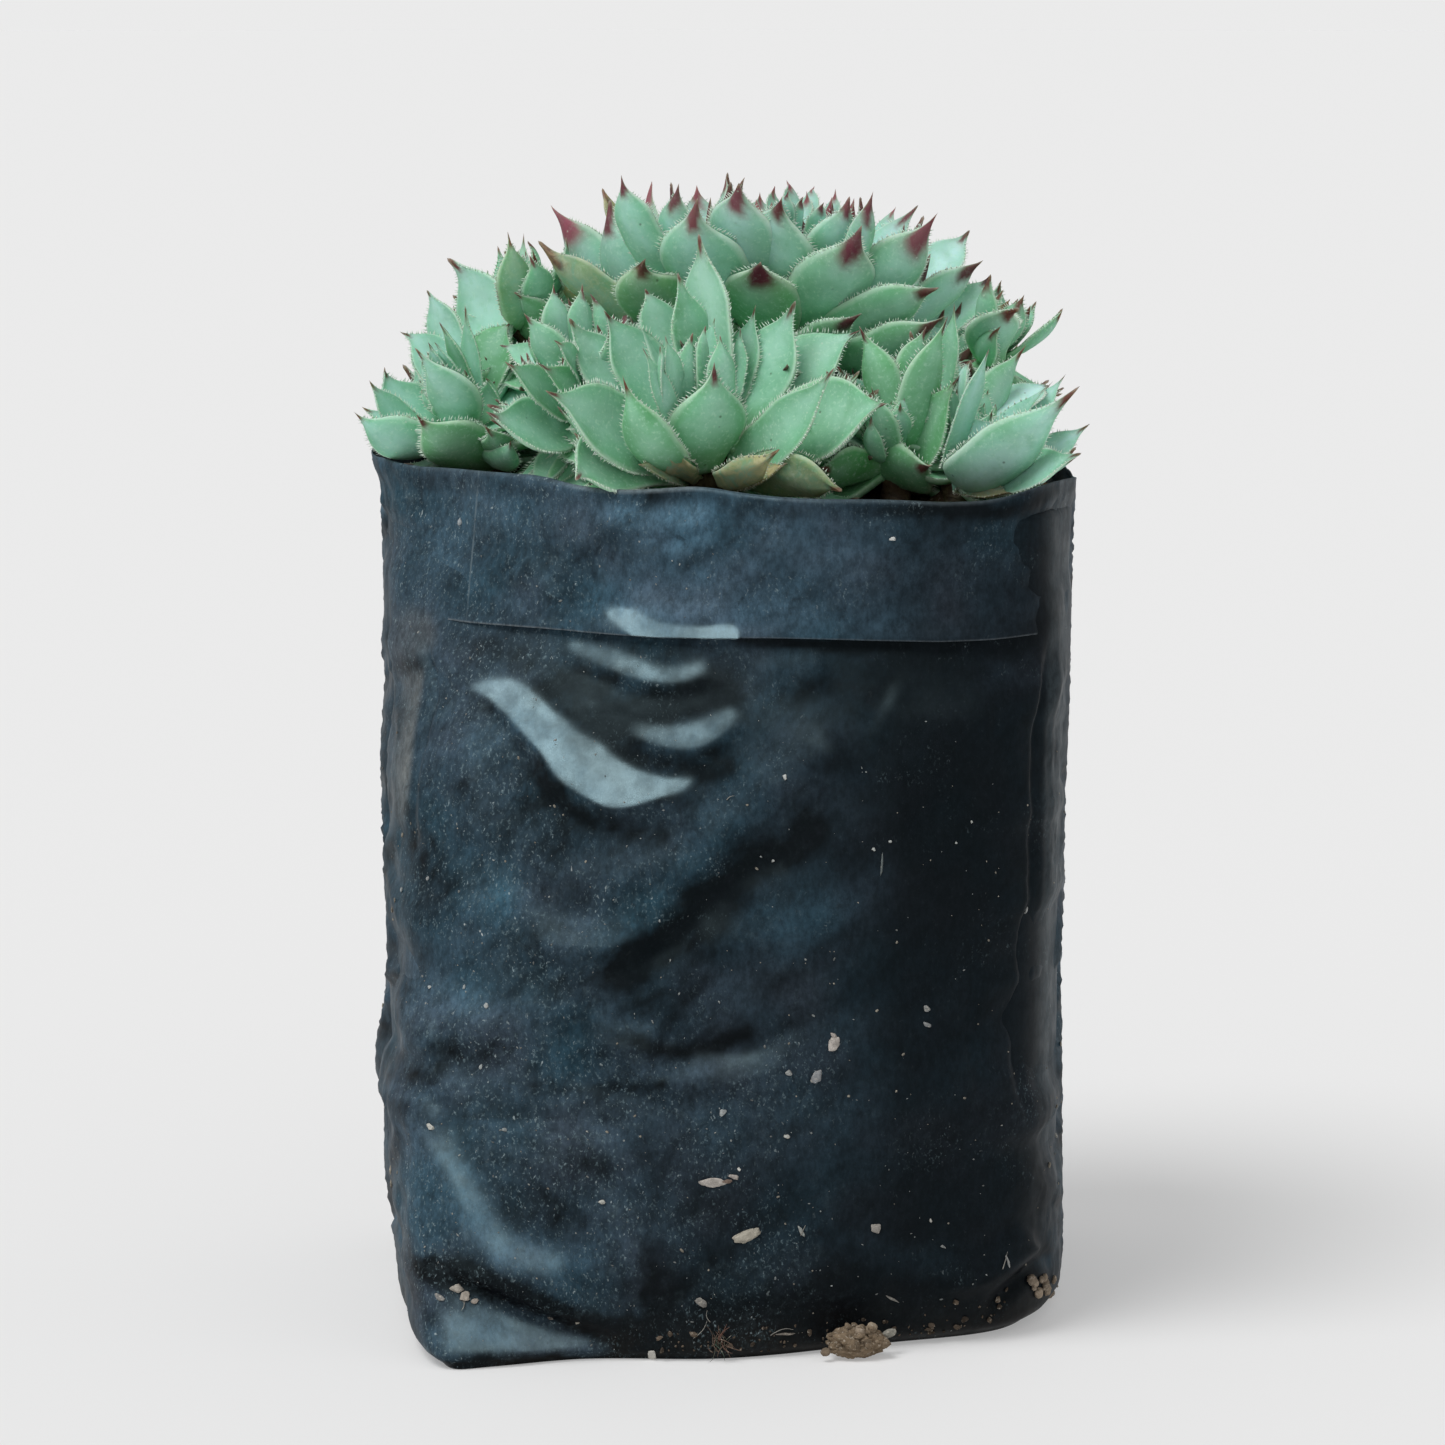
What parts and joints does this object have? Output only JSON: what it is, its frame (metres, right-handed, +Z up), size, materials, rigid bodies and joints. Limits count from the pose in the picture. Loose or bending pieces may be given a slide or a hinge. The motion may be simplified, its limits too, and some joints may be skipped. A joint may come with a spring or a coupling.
{
  "type": "potted common houseleek",
  "caption": "Clump of purple-tipped succulent rosettes growing in a soil-filled nursery grow bag of black film with a folded-down cuff.",
  "frame": {"origin": "on the floor under the middle of the bag, at the centre of its flat base", "axes": "+Z up, -Y towards the front of the bag as pictured, +X to the viewer's right"},
  "size_m": [0.1099, 0.1045, 0.1688],
  "materials": {
    "film": "blue-black polythene film, satin, creased and crumpled, dusty and scuffed with pale specks",
    "soil": "crumbly dark brown potting soil with grit and fibres",
    "stem": "short fleshy stem with dry brown leaf scars",
    "leaf": "fleshy glaucous grey-green leaf, waxy bloom, pale margin with fine hairs, purple-brown pointed tip",
    "heart_leaf": "small incurved young leaves, pale green with purple-brown tips",
    "withered_leaf": "drying older leaves, olive yellow to papery straw brown, wrinkled"
  },
  "bodies": {
    "root": {"grow_bag": "film", "potting_soil": "soil", "main_stem": "stem", "main_outer_leaves": "leaf", "main_middle_leaves": "leaf", "main_heart": "heart_leaf", "front_stem": "stem", "front_withered_leaves": "withered_leaf", "front_outer_leaves": "leaf", "front_middle_leaves": "leaf", "front_heart": "heart_leaf", "front_right_stem": "stem", "front_right_outer_leaves": "leaf", "front_right_middle_leaves": "leaf", "front_right_heart": "heart_leaf", "left_stem": "stem", "left_outer_leaves": "leaf", "left_middle_leaves": "leaf", "left_heart": "heart_leaf", "mid_left_stem": "stem", "mid_left_outer_leaves": "leaf", "mid_left_middle_leaves": "leaf", "mid_left_heart": "heart_leaf", "back_left_stem": "stem", "back_left_outer_leaves": "leaf", "back_left_middle_leaves": "leaf", "back_left_heart": "heart_leaf", "right_back_stem": "stem", "right_back_outer_leaves": "leaf", "right_back_middle_leaves": "leaf", "right_back_heart": "heart_leaf", "nested_stem": "stem", "nested_outer_leaves": "leaf", "nested_middle_leaves": "leaf", "nested_heart": "heart_leaf", "rear_left_stem": "stem", "rear_left_outer_leaves": "leaf", "rear_left_middle_leaves": "leaf", "rear_left_heart": "heart_leaf", "rear_stem": "stem", "rear_outer_leaves": "leaf", "rear_middle_leaves": "leaf", "rear_heart": "heart_leaf", "rear_right_stem": "stem", "rear_right_outer_leaves": "leaf", "rear_right_middle_leaves": "leaf", "rear_right_heart": "heart_leaf"}
  },
  "joints": []
}
